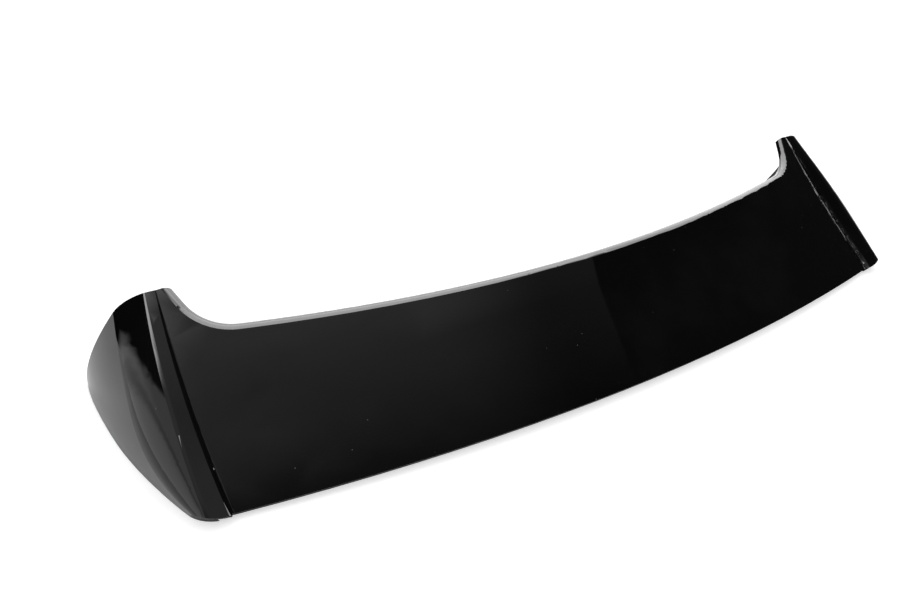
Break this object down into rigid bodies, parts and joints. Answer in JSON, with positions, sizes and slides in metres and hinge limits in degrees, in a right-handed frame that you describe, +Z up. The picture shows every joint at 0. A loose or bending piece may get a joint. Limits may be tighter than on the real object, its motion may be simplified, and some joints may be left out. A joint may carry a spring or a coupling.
{
  "type": "car spoiler",
  "caption": "Gloss black roof spoiler for a hatchback tailgate: a bowed, scooped blade with swept end plates edged by tapering ribs, moulded as one open shell.",
  "frame": {"origin": "centre of the bounding box on the floor, below the blade", "axes": "+X across the car to its right, +Y towards the front of the car, +Z up; the blade rises towards the front as the part stands on the rims of its end plates"},
  "size_m": [1.188, 0.3547, 0.163],
  "materials": {
    "gloss_black": "high-gloss black, clear-coated moulding"
  },
  "bodies": {
    "root": {"spoiler_shell": "gloss_black"}
  },
  "joints": []
}
